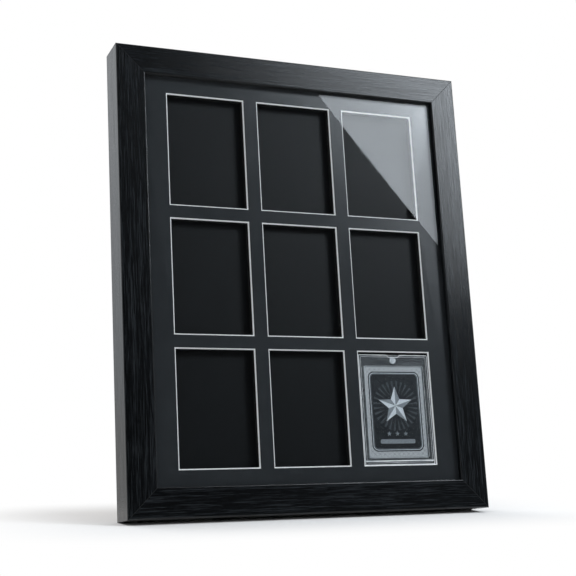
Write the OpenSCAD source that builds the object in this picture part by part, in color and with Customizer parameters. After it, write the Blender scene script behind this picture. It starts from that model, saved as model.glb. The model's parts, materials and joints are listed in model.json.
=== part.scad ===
// Display frame for nine cards in magnetic holders: four mitred rails, a clear pane,
// a bevelled window mat, foam with nine pockets, a back board held by turn buttons,
// wall hangers and an easel strut on which the frame stands leaning back.
//
// Every piece is drawn in the frame's own plane and then leaned back by standing():
// X runs across, Y runs from front to back with 0 on the rails' rear faces, and Z runs
// up from the lower outer edge. After standing() the rear lower edge is on the floor.

/* [Frame rails] */
// Overall width of the frame
frame_w = 366; // [320:1:460]
// Overall height of the frame
frame_h = 448; // [400:1:560]
// Depth of the rails from front to back
frame_d = 35.5; // [32:0.5:60]
// Width of a rail's front face
rail_w = 28; // [24:0.5:34]
// Thickness of the front lip
lip_t = 5; // [4:0.5:9]
// Width of the lip that covers the edge of the pane
lip_w = 7; // [5:0.5:9]
// Radius of the rounded outer front edge
outer_ease = 1.5; // [0.5:0.1:3]
// Radius of the rounded inner front edge
inner_ease = 1.2; // [0.5:0.1:2]
// Angle by which the frame leans back
lean = 8; // [5:0.5:12]

/* [Corner nails] */
// Length of each leg of a corner nail
nail_leg = 6; // [4:0.5:6]
// Thickness of the nail's steel
nail_t = 0.6; // [0.4:0.1:1]
// Depth to which a nail is driven
nail_depth = 10; // [6:1:16]
// Distance of the outer nail of a corner from the outer edges
nail_first = 5; // [3:0.5:6]
// Distance from the outer nail to the inner one
nail_step = 7.5; // [6:0.5:8]

/* [Pane and mat] */
// Thickness of the clear pane
pane_t = 2; // [1.5:0.1:4]
// Thickness of the mat's dark face paper
mat_paper_t = 0.3; // [0.2:0.05:0.5]
// Thickness of the mat's white core
mat_core_t = 1.1; // [0.8:0.1:2.4]
// Gap around the stack of sheets inside the rails
stack_gap = 0.5; // [0.3:0.1:1.5]

/* [Windows and pockets] */
// Width of the mat's upright bars, which share what the windows leave with edge_w
bar_w = 13; // [8:0.5:20]
// Width of the mat's strips beside the outer windows
edge_w = 22; // [10:0.5:30]
// Height of the mat's level bars, which share what the windows leave with edge_h
bar_h = 11.5; // [8:0.5:20]
// Height of the mat's strips above the top windows and below the bottom ones
edge_h = 15; // [8:0.5:24]
// Gap across between a holder and its pocket
holder_gap_w = 1.4; // [0.6:0.1:4]
// Gap above a holder that stands in its pocket
holder_gap_h = 2.4; // [0.6:0.1:5]
// Gap in front of a holder in its pocket, up to the mat
holder_gap_d = 0.4; // [0.2:0.1:3]
// How far a pocket is cut back behind the edge of its window
pocket_relief = 0.6; // [0.3:0.1:1.5]
// Thickness of the felt sheet at the bottom of the pockets
felt_t = 1; // [0.5:0.1:2]

/* [Back board] */
// Thickness of the back board
board_t = 3.5; // [2.5:0.5:5]
// How far the back board lies below the rails' rear faces
board_inset = 0.2; // [0.1:0.05:1]

/* [Screws and turn buttons] */
// Radius of a screw's shank
screw_r = 1.5; // [1.2:0.1:2]
// Length of a screw under its head
screw_l = 12; // [8:1:18]
// Radius of a screw's head
head_r = 3; // [2.5:0.1:4]
// Height of a screw's head
head_h = 1.8; // [1.2:0.1:2.5]
// Play between a screw and what turns or sits on it
screw_play = 0.08; // [0.03:0.01:0.1]
// Distance of a turn button's pivot from the outer edge of the frame
button_in = 13; // [9:0.5:14]
// How far a turn button overlaps the back board
button_lap = 6.5; // [3:0.5:9]
// Width of a turn button
button_w = 8; // [7:0.5:12]
// Thickness of a turn button
button_t = 1.2; // [0.8:0.1:2]
// Play of a turn button between the rail and the screw's head
button_play = 0.1; // [0.05:0.05:0.2]
// Distance of the upper and lower turn buttons from the middle
button_x = 100; // [70:1:120]
// Distance of the side turn buttons from the middle height
button_z = 90; // [60:1:100]

/* [Wall hangers] */
// Gap between a hanger strap and the turn button that swings below it
strap_gap = 6; // [2:0.5:20]
// Width of a hanger strap
strap_w = 10; // [8:0.5:11]
// Length of a hanger strap below its pivot
strap_l = 34; // [32:1:36]
// Thickness of a hanger strap
strap_t = 1; // [0.8:0.1:1.2]
// Gap between a hanging ring and the head of the screw below it
ring_screw_gap = 1.6; // [0.6:0.1:3]
// Distance of a strap's lower screw above the end of the strap
strap_screw_end = 6; // [5:0.5:7]
// Radius of a hanger ring's wire
wire_r = 1.1; // [0.9:0.05:1.3]
// Radius of the bends beside a hanger ring's straight bar
bend_r = 2.3; // [2:0.1:2.5]
// Gap between a strap's eye and each bend of its ring
ring_side_gap = 0.7; // [0.3:0.1:1]
// Play between a ring and the eye that it turns in
eye_play = 0.06; // [0.03:0.01:0.1]
// Radius of a rubber wall bumper
bumper_r = 5; // [3:0.5:8]
// Height of a rubber wall bumper
bumper_h = 5.5; // [3:0.5:8]
// Distance of the wall bumpers from the middle
bumper_x = 145; // [130:1:150]

/* [Easel] */
// Height of the easel's hinge above the lower edge
hinge_z = 300; // [240:1:320]
// Angle between the open strut and the back board
open_angle = 16; // [14:0.5:24]
// Thickness of the strut
strut_t = 3; // [3:0.5:5]
// Width of the strut at its foot
foot_w = 92; // [70:1:120]
// Height of the strut's ears, which stop it against the back board
ear_h = 9; // [7:0.5:14]
// Width of each ear
ear_w = 12; // [8:0.5:20]
// Width of the hinge
hinge_w = 40; // [30:1:60]
// Length of each leaf from the pin
leaf_l = 26; // [22:1:40]
// Thickness of the leaves
leaf_t = 1.2; // [1:0.1:1.6]
// Radius of the hinge pin
pin_r = 1.5; // [1.2:0.1:2]
// Play between the pin and the knuckles
pin_play = 0.05; // [0.03:0.01:0.1]
// Gap between two knuckles
knuckle_gap = 0.3; // [0.2:0.05:0.6]
// Clear height of the knuckles above the back board
hinge_lift = 0.3; // [0.2:0.05:0.6]
// Distance of the rivets from the sides of their leaf
rivet_side = 6; // [5:0.5:10]
// Distance of the outer rivets from the end of their leaf
rivet_end = 5; // [4:0.5:8]
// Distance of the inner rivets from the knuckles
rivet_root = 6; // [5:0.5:8]
// Play between the strut's ears and the hinge
ear_play = 1.5; // [0.5:0.1:3]
// Play between the strut's shoulder and the knuckles above it
shoulder_play = 0.8; // [0.4:0.1:2]
// How far the pin shows at each end of the hinge
pin_end = 0.5; // [0:0.1:2]
// Radius of a rivet
rivet_r = 1.5; // [1.2:0.1:2]
// Radius of a rivet's head
rivet_head_r = 2.8; // [2.2:0.1:3.5]
// Height of a rivet's head
rivet_head_h = 1; // [0.6:0.1:1.5]

/* [Card holder] */
// Width of the holder's border on each side of the card
border_w = 6.75; // [4:0.05:9]
// Height of the holder's border above the card, which holds the magnets
border_top = 12.25; // [11:0.05:16]
// Height of the holder's border below the card
border_bottom = 7.85; // [4:0.05:10]
// Thickness of the holder's rear half
holder_base_t = 4.2; // [3.5:0.1:6]
// Thickness of the holder's lid
holder_lid_t = 3.4; // [3:0.1:5]
// Bevel around the front of the lid
lid_bevel = 1.2; // [0.5:0.1:1.5]
// Width of the thumb notch at its mouth
notch_w = 14; // [10:0.5:20]
// Height of the thumb notch
notch_h = 2.2; // [1.5:0.1:2.4]
// Radius of a magnet
magnet_r = 3.2; // [2.5:0.1:3.4]
// Thickness of a magnet
magnet_t = 1.6; // [1:0.1:2]
// Distance of the magnets from the holder's top edge
magnet_in = 5.8; // [5.8:0.1:7.5]
// Play around a magnet in its hole
magnet_play = 0.05; // [0.03:0.01:0.1]
// Width of a card
card_w = 63.5; // [55:0.5:66]
// Height of a card
card_h = 88.9; // [80:0.1:90]
// Thickness of a card
card_t = 0.9; // [0.3:0.1:1.4]
// Play around a card in the holder
card_play = 0.05; // [0.03:0.01:0.3]
// Column of the pocket that holds the card, counted from the left
card_column = 2; // [0:1:2]
// Row of the pocket that holds the card, counted from the top
card_row = 2; // [0:1:2]

/* [Hidden] */
$fn = 48;
past = 1;
columns = 3;
rows = 3;
knuckles = 5;

mat_t = mat_paper_t + mat_core_t;
wall_w = rail_w - lip_w;

// The holder around its card, the pocket around the holder, and the window, whose bevel
// ends inside the pocket's edge
holder_w = card_w + 2 * border_w;
holder_h = card_h + border_top + border_bottom;
card_drop = (border_top - border_bottom) / 2;
pocket_w = holder_w + holder_gap_w;
pocket_h = holder_h + holder_gap_h;
pocket_d = holder_base_t + holder_lid_t + holder_gap_d;
window_w = pocket_w - 2 * pocket_relief + 2 * mat_t;
window_h = pocket_h - 2 * pocket_relief + 2 * mat_t;

// What the windows leave of the opening goes to the bars and the edge strips in proportion
free_w = frame_w - 2 * rail_w - columns * window_w;
free_h = frame_h - 2 * rail_w - rows * window_h;
pitch_x = window_w + free_w * bar_w / ((columns - 1) * bar_w + 2 * edge_w);
pitch_z = window_h + free_h * bar_h / ((rows - 1) * bar_h + 2 * edge_h);

// Depths of the faces in the stack, from the front to the back
pane_y = lip_t - frame_d;
mat_y = pane_y + pane_t;
core_y = mat_y + mat_paper_t;
pocket_y = mat_y + mat_t;
felt_y = pocket_y + pocket_d;
foam_y = felt_y + felt_t;
board_back_y = -board_inset;
board_y = board_back_y - board_t;
foam_t = board_y - foam_y;

// Sheets inside the rails
sheet_w = frame_w - 2 * (wall_w + stack_gap);
sheet_h = frame_h - 2 * (wall_w + stack_gap);

// Turn buttons: pivot in X and Z, and the turn that points the button inwards
button_l = wall_w + button_lap - button_in;
button_seat_y = button_t + 2 * button_play;
button_side = frame_w / 2 - button_in;
BUTTONS = [
    [-button_x, button_in, 0],
    [button_x, button_in, 0],
    [-button_x, frame_h - button_in, 180],
    [button_x, frame_h - button_in, 180],
    [-button_side, frame_h / 2 - button_z, 90],
    [-button_side, frame_h / 2 + button_z, 90],
    [button_side, frame_h / 2 - button_z, -90],
    [button_side, frame_h / 2 + button_z, -90]
];

// Hangers
eye_r = wire_r + eye_play + strap_t;
bow_r = strap_w / 2 + ring_side_gap + bend_r;
ring_reach = bend_r + bow_r + wire_r;
hanger_x = (frame_w - wall_w) / 2;
hanger_z = frame_h / 2 + button_z + button_l + strap_gap + strap_l;
strap_screws = [-ring_reach - ring_screw_gap - head_r, strap_screw_end - strap_l];

// Hinge and strut, measured from the pin's axis
knuckle_r = pin_r + pin_play + leaf_t;
knuckle_w = (hinge_w - (knuckles - 1) * knuckle_gap) / knuckles;
pin_y = board_back_y + knuckle_r + hinge_lift;
pin_l = hinge_w + 2 * pin_end;
strut_outer = knuckle_r - leaf_t;
strut_inner = strut_outer - strut_t;
ear_x = hinge_w / 2 + ear_play;
strut_shoulder = knuckle_r + shoulder_play;
stop_gap = 0.1;
rivet_x = hinge_w / 2 - rivet_side;
rivet_rows = [leaf_l - rivet_end, knuckle_r + rivet_root];

// Where the strut's rear face meets the floor, measured from the frame's rear edge
strut_tilt = open_angle - lean;
pin_floor_y = pin_y * cos(lean) + hinge_z * sin(lean);
pin_floor_z = hinge_z * cos(lean) - pin_y * sin(lean);
strut_reach = (pin_floor_z + strut_outer * sin(strut_tilt)) / cos(strut_tilt);
foot_y = pin_floor_y + strut_outer * cos(strut_tilt) + strut_reach * sin(strut_tilt);
front_y = -(frame_d - outer_ease) * cos(lean) + outer_ease * sin(lean) - outer_ease;

// Holder
holder_back_y = felt_y;
parting_y = holder_back_y - holder_base_t;
lid_y = parting_y - holder_lid_t;
recess_t = card_t + 2 * card_play;

// Leans the frame back, with the middle of its footprint at the origin
module standing() {
    translate([0, -(front_y + foot_y) / 2, 0])
        rotate([-lean, 0, 0])
            children();
}

// Extrudes an outline drawn in X and Z from the depth y0 towards the back
module slab(y0, t) {
    translate([0, y0 + t, 0])
        rotate([90, 0, 0])
            linear_extrude(t)
                children();
}

// A level sheet centred in the frame
module sheet(y0, t) {
    slab(y0, t)
        translate([-sheet_w / 2, (frame_h - sheet_h) / 2])
            square([sheet_w, sheet_h]);
}

// Centre of each window, row 0 being the top one
module at_window(column, row) {
    translate([(column - 1) * pitch_x, 0, frame_h / 2 + (1 - row) * pitch_z])
        children();
}

module at_windows() {
    for (column = [0 : columns - 1], row = [0 : rows - 1])
        at_window(column, row)
            children();
}

// A round pin or hole along Y
module bar_y(r, y0, y1) {
    translate([0, y0, 0])
        rotate([-90, 0, 0])
            cylinder(r = r, h = y1 - y0);
}

// A round pin or hole along X, centred
module bar_x(r, l) {
    rotate([0, 90, 0])
        cylinder(r = r, h = l, center = true);
}

// Rails

// What rounding takes from a square corner at the origin
module corner_cut(r) {
    difference() {
        translate([-past, -past])
            square(r + past);
        translate([r, r])
            circle(r);
    }
}

// Section of a rail: depth along X, distance from the outer face along Y
module rail_section() {
    difference() {
        translate([-frame_d, 0])
            square([frame_d, rail_w]);
        translate([pane_y, wall_w])
            square([frame_d, rail_w]);
        translate([-frame_d, 0])
            corner_cut(outer_ease);
        translate([-frame_d, rail_w])
            mirror([0, 1])
                corner_cut(inner_ease);
    }
}

// A rail along X with mitred ends, standing on its outer face
module rail_bar(l) {
    intersection() {
        rotate([90, 0, 90])
            linear_extrude(l, center = true)
                rail_section();
        slab(-frame_d - past, frame_d + 2 * past)
            polygon([[-l / 2, 0], [l / 2, 0], [l / 2 - rail_w, rail_w], [rail_w - l / 2, rail_w]]);
    }
}

// Corner nails: two at each corner, with one leg in each rail
module nail() {
    slab(-nail_depth, nail_depth)
        union() {
            square([nail_leg, nail_t]);
            square([nail_t, nail_leg]);
        }
}

module corner_nail_pair() {
    for (i = [0, 1])
        translate([nail_first + i * nail_step, 0, nail_first + i * nail_step])
            nail();
}

module all_nails() {
    for (side = [0, 1], end = [0, 1])
        translate([0, 0, end * frame_h])
            mirror([side, 0, 0])
                mirror([0, 0, end])
                    translate([-frame_w / 2, 0, 0])
                        corner_nail_pair();
}

module rail_wood(bores) {
    color([0.07, 0.07, 0.075])
        standing()
            difference() {
                children();
                all_nails();
                for (i = bores)
                    at_button(i)
                        bar_y(screw_r + screw_play, button_seat_y - screw_l, past);
            }
}

module rail_bottom() {
    rail_wood([0, 1])
        rail_bar(frame_w);
}

module rail_top() {
    rail_wood([2, 3])
        translate([0, 0, frame_h])
            mirror([0, 0, 1])
                rail_bar(frame_w);
}

module side_rail() {
    difference() {
        translate([frame_w / 2, 0, frame_h / 2])
            rotate([0, -90, 0])
                rail_bar(frame_h);
        at_strap_screws()
            bar_y(screw_r + screw_play, strap_t - screw_l, past);
    }
}

module rail_right() {
    rail_wood([6, 7])
        side_rail();
}

module rail_left() {
    rail_wood([4, 5])
        mirror([1, 0, 0])
            side_rail();
}

module corner_nails() {
    color([0.6, 0.6, 0.62])
        standing()
            all_nails();
}

// Pane, mat and pockets

module pane() {
    color([0.8, 0.87, 0.9, 0.3])
        standing()
            sheet(pane_y, pane_t);
}

// A window cut at 45 degrees: w and h on the face at y0, closing in behind it
module bevelled_hole(w, h, y0, t) {
    intersection() {
        bevelled_slot(w, h + 2 * past, y0, t);
        rotate([0, 90, 0])
            bevelled_slot(h, w + 2 * past, y0, t);
    }
}

// A slot of length l along Z whose width closes from w on the face by t on each side
module bevelled_slot(w, l, y0, t) {
    half = w / 2;
    translate([0, 0, -l / 2])
        linear_extrude(l)
            polygon([
                [-half - past, y0 - past], [half + past, y0 - past],
                [half - t - past, y0 + t + past], [t + past - half, y0 + t + past]
            ]);
}

module mat_paper() {
    color([0.13, 0.14, 0.15])
        standing()
            difference() {
                sheet(mat_y, mat_paper_t);
                at_windows()
                    bevelled_hole(window_w, window_h, mat_y, mat_paper_t);
            }
}

module mat_core() {
    color([0.93, 0.93, 0.91])
        standing()
            difference() {
                sheet(core_y, mat_core_t);
                at_windows()
                    bevelled_hole(window_w, window_h, mat_y, mat_t);
            }
}

module pocket_sheet() {
    color([0.1, 0.11, 0.12])
        standing()
            difference() {
                sheet(pocket_y, pocket_d);
                at_windows()
                    slab(pocket_y - past, pocket_d + 2 * past)
                        square([pocket_w, pocket_h], center = true);
            }
}

module pocket_felt() {
    color([0.12, 0.13, 0.14])
        standing()
            sheet(felt_y, felt_t);
}

module backing_foam() {
    color([0.16, 0.16, 0.17])
        standing()
            sheet(foam_y, foam_t);
}

module back_board() {
    color([0.36, 0.27, 0.19])
        standing()
            difference() {
                sheet(board_y, board_t);
                at_base_rivets()
                    bar_y(rivet_r + pin_play, board_y - past, past);
            }
}

// Screws and turn buttons

// A screw whose head sits on the depth y0
module screw(y0) {
    translate([0, y0, 0])
        rotate([-90, 0, 0])
            rotate_extrude()
                polygon([
                    [0, screw_r - screw_l], [screw_r, 2 * screw_r - screw_l], [screw_r, 0],
                    [head_r, 0], [head_r, head_h * 0.4], [head_r * 0.65, head_h], [0, head_h]
                ]);
}

module at_button(i) {
    translate([BUTTONS[i][0], 0, BUTTONS[i][1]])
        rotate([0, BUTTONS[i][2], 0])
            children();
}

module turn_button(i) {
    color([0.72, 0.72, 0.7])
        standing()
            at_button(i)
                slab(button_play, button_t)
                    difference() {
                        union() {
                            circle(button_w / 2);
                            translate([-button_w / 2, 0])
                                square([button_w, button_l - button_w / 2]);
                            translate([0, button_l - button_w / 2])
                                circle(button_w / 2);
                        }
                        circle(screw_r + screw_play);
                    }
}

module button_screws() {
    color([0.75, 0.74, 0.72])
        standing()
            for (i = [0 : len(BUTTONS) - 1])
                at_button(i)
                    screw(button_seat_y);
}

// Wall hangers

module at_hanger() {
    translate([hanger_x, 0, hanger_z])
        children();
}

module at_strap_screws() {
    at_hanger()
        for (z = strap_screws)
            translate([0, 0, z])
                children();
}

// A strap that is folded into an eye around the ring's bar
module hanger_strap() {
    difference() {
        at_hanger()
            difference() {
                union() {
                    slab(0, strap_t)
                        union() {
                            translate([-strap_w / 2, strap_w / 2 - strap_l])
                                square([strap_w, strap_l - strap_w / 2]);
                            translate([0, strap_w / 2 - strap_l])
                                circle(strap_w / 2);
                        }
                    translate([0, eye_r, 0])
                        bar_x(eye_r, strap_w);
                }
                translate([0, eye_r, 0])
                    bar_x(wire_r + eye_play, strap_w + 2 * past);
            }
        at_strap_screws()
            bar_y(screw_r + screw_play, -past, strap_t + past);
    }
}

module hanger_strap_right() {
    color([0.8, 0.72, 0.48])
        standing()
            hanger_strap();
}

module hanger_strap_left() {
    color([0.8, 0.72, 0.48])
        standing()
            mirror([1, 0, 0])
                hanger_strap();
}

// A bow of wire in the X-Z plane, from one angle to another around its centre
module wire_bow(r, from, to) {
    rotate([90, 0, 0])
        rotate([0, 0, from])
            rotate_extrude(angle = to - from)
                translate([r, 0])
                    circle(wire_r, $fn = 24);
}

// A D-shaped ring that hangs straight down from its bar
module hanger_ring() {
    straight = bow_r - bend_r;
    at_hanger()
        translate([0, eye_r, 0])
            rotate([lean, 0, 0])
                union() {
                    rotate([0, 90, 0])
                        cylinder(r = wire_r, h = 2 * straight, center = true, $fn = 24);
                    translate([straight, 0, -bend_r])
                        wire_bow(bend_r, 0, 90);
                    translate([-straight, 0, -bend_r])
                        wire_bow(bend_r, 90, 180);
                    translate([0, 0, -bend_r])
                        wire_bow(bow_r, 180, 360);
                }
}

module hanger_ring_right() {
    color([0.8, 0.72, 0.48])
        standing()
            hanger_ring();
}

module hanger_ring_left() {
    color([0.8, 0.72, 0.48])
        standing()
            mirror([1, 0, 0])
                hanger_ring();
}

module hanger_screws() {
    color([0.75, 0.74, 0.72])
        standing()
            for (side = [0, 1])
                mirror([side, 0, 0])
                    at_strap_screws()
                        screw(strap_t);
}

module wall_bumpers() {
    color([0.08, 0.08, 0.08])
        standing()
            for (side = [-1, 1])
                translate([side * bumper_x, 0, wall_w / 2])
                    rotate([-90, 0, 0])
                        rotate_extrude()
                            polygon([
                                [0, 0], [bumper_r, 0], [bumper_r, bumper_h * 0.6],
                                [bumper_r * 0.75, bumper_h], [0, bumper_h]
                            ]);
}

// Easel

module at_pin() {
    translate([0, pin_y, hinge_z])
        children();
}

// The strut's own plane, opened about the pin
module at_strut() {
    at_pin()
        rotate([open_angle, 0, 0])
            children();
}

// Centre of knuckle i along the pin
function knuckle_x(i) = (i - (knuckles - 1) / 2) * (knuckle_w + knuckle_gap);

// A leaf that goes up from the pin, flush with the knuckles' near side, and has
// the knuckles from first on in steps of two
module leaf(first, bottom) {
    shoulder = knuckle_r + knuckle_gap;
    difference() {
        union() {
            slab(bottom, leaf_t)
                translate([-hinge_w / 2, shoulder])
                    square([hinge_w, leaf_l - shoulder]);
            for (i = [first : 2 : knuckles - 1])
                translate([knuckle_x(i), 0, 0]) {
                    bar_x(knuckle_r, knuckle_w);
                    slab(bottom, leaf_t)
                        translate([-knuckle_w / 2, 0])
                            square([knuckle_w, shoulder + past]);
                }
        }
        bar_x(pin_r + pin_play, hinge_w + 2 * past);
        for (x = [-rivet_x, rivet_x], z = rivet_rows)
            translate([x, 0, z])
                bar_y(rivet_r + pin_play, bottom - past, bottom + leaf_t + past);
    }
}

module hinge_base_leaf() {
    color([0.74, 0.74, 0.72])
        standing()
            at_pin()
                leaf(0, board_back_y - pin_y);
}

module hinge_strut_leaf() {
    color([0.74, 0.74, 0.72])
        standing()
            at_strut()
                mirror([0, 0, 1])
                    leaf(1, strut_outer);
}

module hinge_pin() {
    color([0.66, 0.66, 0.66])
        standing()
            at_pin()
                bar_x(pin_r, pin_l);
}

module at_base_rivets() {
    for (x = [-rivet_x, rivet_x], z = rivet_rows)
        translate([x, 0, hinge_z + z])
            children();
}

// A rivet through a leaf and the board behind it, with its head on the leaf at y0
module rivet(y0, l) {
    translate([0, y0, 0])
        rotate([-90, 0, 0])
            rotate_extrude()
                polygon([
                    [0, -l], [rivet_r, -l], [rivet_r, 0], [rivet_head_r, 0],
                    [rivet_head_r * 0.8, rivet_head_h * 0.7], [rivet_head_r * 0.4, rivet_head_h],
                    [0, rivet_head_h]
                ]);
}

module base_rivets() {
    color([0.74, 0.74, 0.72])
        standing()
            at_base_rivets()
                rivet(board_back_y + leaf_t, board_t + leaf_t);
}

module strut_rivets() {
    color([0.74, 0.74, 0.72])
        standing()
            at_strut()
                for (x = [-rivet_x, rivet_x], z = rivet_rows)
                    translate([x, 0, -z])
                        rivet(strut_outer + leaf_t, strut_t + leaf_t);
}

// Outline of the strut in its own plane, with the pin at the origin
module strut_outline() {
    top = ear_x + ear_w;
    difference() {
        polygon([
            [-top, ear_h], [top, ear_h],
            [foot_w / 2, -strut_reach - past], [-foot_w / 2, -strut_reach - past]
        ]);
        translate([-ear_x, -strut_shoulder])
            square([2 * ear_x, ear_h + strut_shoulder + past]);
    }
}

module easel_strut() {
    color([0.12, 0.12, 0.12])
        difference() {
            standing()
                difference() {
                    at_strut()
                        difference() {
                            slab(strut_inner, strut_t)
                                strut_outline();
                            for (x = [-rivet_x, rivet_x], z = rivet_rows)
                                translate([x, 0, -z])
                                    bar_y(rivet_r + pin_play, strut_inner - past, strut_outer + past);
                        }
                    translate([-foot_w, board_back_y + stop_gap - foot_w, hinge_z - foot_w])
                        cube([2 * foot_w, foot_w, 2 * foot_w]);
                }
            translate([-foot_w, -foot_y, -foot_w])
                cube([2 * foot_w, 4 * foot_y, foot_w]);
        }
}

// Card holder

// The middle of the holder, which stands on the lower wall of its pocket
module at_holder() {
    at_window(card_column, card_row)
        translate([0, 0, (holder_h - pocket_h) / 2])
            children();
}

module at_magnets() {
    translate([0, 0, holder_h / 2 - magnet_in])
        children();
}

// The card's recess, half in the lid and half in the rear half
module card_recess() {
    translate([0, 0, -card_drop])
        slab(parting_y - recess_t / 2, recess_t)
            square([card_w + 2 * card_play, card_h + 2 * card_play], center = true);
}

module holder_base() {
    color([0.85, 0.88, 0.9, 0.35])
        standing()
            at_holder()
                difference() {
                    slab(parting_y, holder_base_t)
                        square([holder_w, holder_h], center = true);
                    card_recess();
                    at_magnets()
                        bar_y(magnet_r + magnet_play, parting_y - past, parting_y + magnet_t + magnet_play);
                }
}

// A plate whose front edges are bevelled all round
module bevelled_plate(w, h, y0, t, bevel) {
    intersection() {
        translate([0, 0, -h / 2])
            linear_extrude(h)
                bevelled_section(w, y0, t, bevel);
        rotate([0, 90, 0])
            translate([0, 0, -w / 2])
                linear_extrude(w)
                    bevelled_section(h, y0, t, bevel);
    }
}

module bevelled_section(w, y0, t, bevel) {
    half = w / 2;
    polygon([
        [bevel - half, y0], [half - bevel, y0], [half, y0 + bevel],
        [half, y0 + t], [-half, y0 + t], [-half, y0 + bevel]
    ]);
}

module holder_lid() {
    color([0.85, 0.88, 0.9, 0.35])
        standing()
            at_holder()
                difference() {
                    bevelled_plate(holder_w, holder_h, lid_y, holder_lid_t, lid_bevel);
                    card_recess();
                    at_magnets()
                        bar_y(magnet_r + magnet_play, parting_y - magnet_t - magnet_play, parting_y + past);
                    slab(lid_y - past, holder_lid_t + 2 * past)
                        translate([0, holder_h / 2])
                            polygon([
                                [-notch_w / 2, past], [-notch_w / 2, 0],
                                [notch_h - notch_w / 2, -notch_h], [notch_w / 2 - notch_h, -notch_h],
                                [notch_w / 2, 0], [notch_w / 2, past]
                            ]);
                }
}

module base_magnet() {
    color([0.8, 0.8, 0.8])
        standing()
            at_holder()
                at_magnets()
                    bar_y(magnet_r, parting_y + magnet_play, parting_y + magnet_play + magnet_t);
}

module lid_magnet() {
    color([0.8, 0.8, 0.8])
        standing()
            at_holder()
                at_magnets()
                    bar_y(magnet_r, parting_y - magnet_play - magnet_t, parting_y - magnet_play);
}

module card() {
    color([0.55, 0.56, 0.58])
        standing()
            at_holder()
                translate([0, 0, -card_drop])
                    slab(parting_y - card_t / 2, card_t)
                        square([card_w, card_h], center = true);
}

rail_top();
rail_bottom();
rail_left();
rail_right();
corner_nails();
pane();
mat_paper();
mat_core();
pocket_sheet();
pocket_felt();
backing_foam();
back_board();
turn_button(0);  // button_bottom_left
turn_button(1);  // button_bottom_right
turn_button(2);  // button_top_left
turn_button(3);  // button_top_right
turn_button(4);  // button_left_lower
turn_button(5);  // button_left_upper
turn_button(6);  // button_right_lower
turn_button(7);  // button_right_upper
button_screws();
hanger_strap_left();
hanger_strap_right();
hanger_ring_left();
hanger_ring_right();
hanger_screws();
wall_bumpers();
hinge_base_leaf();
hinge_strut_leaf();
hinge_pin();
base_rivets();
strut_rivets();
easel_strut();
holder_base();
holder_lid();
base_magnet();
lid_magnet();
card();
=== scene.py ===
"""The looks of a standing display frame for nine cards: camera, light, materials and detail.

Pieces are drawn in the frame's own axes, as in the part's source: X runs across, Y runs
from front to back with 0 on the rails' rear faces, and Z runs up from the lower outer
edge. LEANED brings them into place. Lengths are in metres. The outlines of the heads of
screws and rivets, of the card's print and of the holder's lines are in millimetres.
"""
import json
import math
import random

import bmesh
import bpy
from mathutils import Matrix, Vector


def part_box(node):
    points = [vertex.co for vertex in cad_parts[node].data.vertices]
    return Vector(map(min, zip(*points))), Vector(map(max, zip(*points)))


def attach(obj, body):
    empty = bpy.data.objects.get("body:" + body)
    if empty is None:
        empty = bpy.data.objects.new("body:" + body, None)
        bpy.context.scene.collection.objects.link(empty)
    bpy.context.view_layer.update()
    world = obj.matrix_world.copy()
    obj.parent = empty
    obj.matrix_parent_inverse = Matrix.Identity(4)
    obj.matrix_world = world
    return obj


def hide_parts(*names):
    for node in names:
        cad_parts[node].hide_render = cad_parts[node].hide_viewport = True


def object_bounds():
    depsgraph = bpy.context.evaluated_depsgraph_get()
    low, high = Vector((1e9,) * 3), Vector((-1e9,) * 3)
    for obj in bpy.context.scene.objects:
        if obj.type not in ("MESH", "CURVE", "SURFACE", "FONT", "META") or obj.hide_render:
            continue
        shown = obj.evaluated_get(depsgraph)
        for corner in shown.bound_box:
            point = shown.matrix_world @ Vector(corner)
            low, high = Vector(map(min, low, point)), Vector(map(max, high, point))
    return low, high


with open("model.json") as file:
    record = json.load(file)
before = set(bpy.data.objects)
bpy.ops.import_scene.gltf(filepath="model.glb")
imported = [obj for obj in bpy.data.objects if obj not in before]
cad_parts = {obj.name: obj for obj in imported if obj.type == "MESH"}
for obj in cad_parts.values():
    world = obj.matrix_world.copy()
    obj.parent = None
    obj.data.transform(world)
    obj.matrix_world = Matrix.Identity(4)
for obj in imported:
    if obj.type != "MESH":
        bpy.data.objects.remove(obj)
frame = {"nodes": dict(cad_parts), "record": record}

CAD_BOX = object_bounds()
BODIES = frame["record"]["behaviour"]["bodies"]
BODY_OF = {node: body for body, nodes in BODIES.items() for node in nodes}
BUTTONS = [n for n in frame["nodes"] if n.startswith("button_") and n != "button_screws"]
STRAPS = ["hanger_strap_left", "hanger_strap_right"]
RINGS = ["hanger_ring_left", "hanger_ring_right"]
LEVEL_RAILS = ["rail_top", "rail_bottom"]
UPRIGHT_RAILS = ["rail_left", "rail_right"]
LEAVES = ["hinge_base_leaf", "hinge_strut_leaf"]
HOLDER = ["holder_base", "holder_lid"]

MM = 0.001
LEAN = math.radians(8)
STRUT_OPEN = math.radians(16)
RAIL_W = 28 * MM
FRAME_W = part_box("rail_top")[1].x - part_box("rail_top")[0].x
FRAME_H = 448 * MM

REAR_EDGE_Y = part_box("rail_bottom")[1].y - RAIL_W * math.sin(LEAN)

# Moves from the axes in which a mesh is drawn to its place at rest
IN_PLACE = Matrix()
LEANED = Matrix.Translation((0, REAR_EDGE_Y, 0)) @ Matrix.Rotation(-LEAN, 4, "X")
STRUT_TURN = Matrix.Rotation(STRUT_OPEN - LEAN, 4, "X")

# Camera, fitted to the corners of the mat's windows
CAMERA_AT = (-0.4764, -1.1264, 0.1055)
CAMERA_AZIMUTH = math.radians(22.663)
CAMERA_PITCH = math.radians(5.37)
CAMERA_LENS = 77.61
CAMERA_SENSOR = 36
CAMERA_NEAR = 0.01

# Place on the object that the lights face
LIGHTS_FACE = Vector((0.12, -0.02, 0.38))

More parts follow.
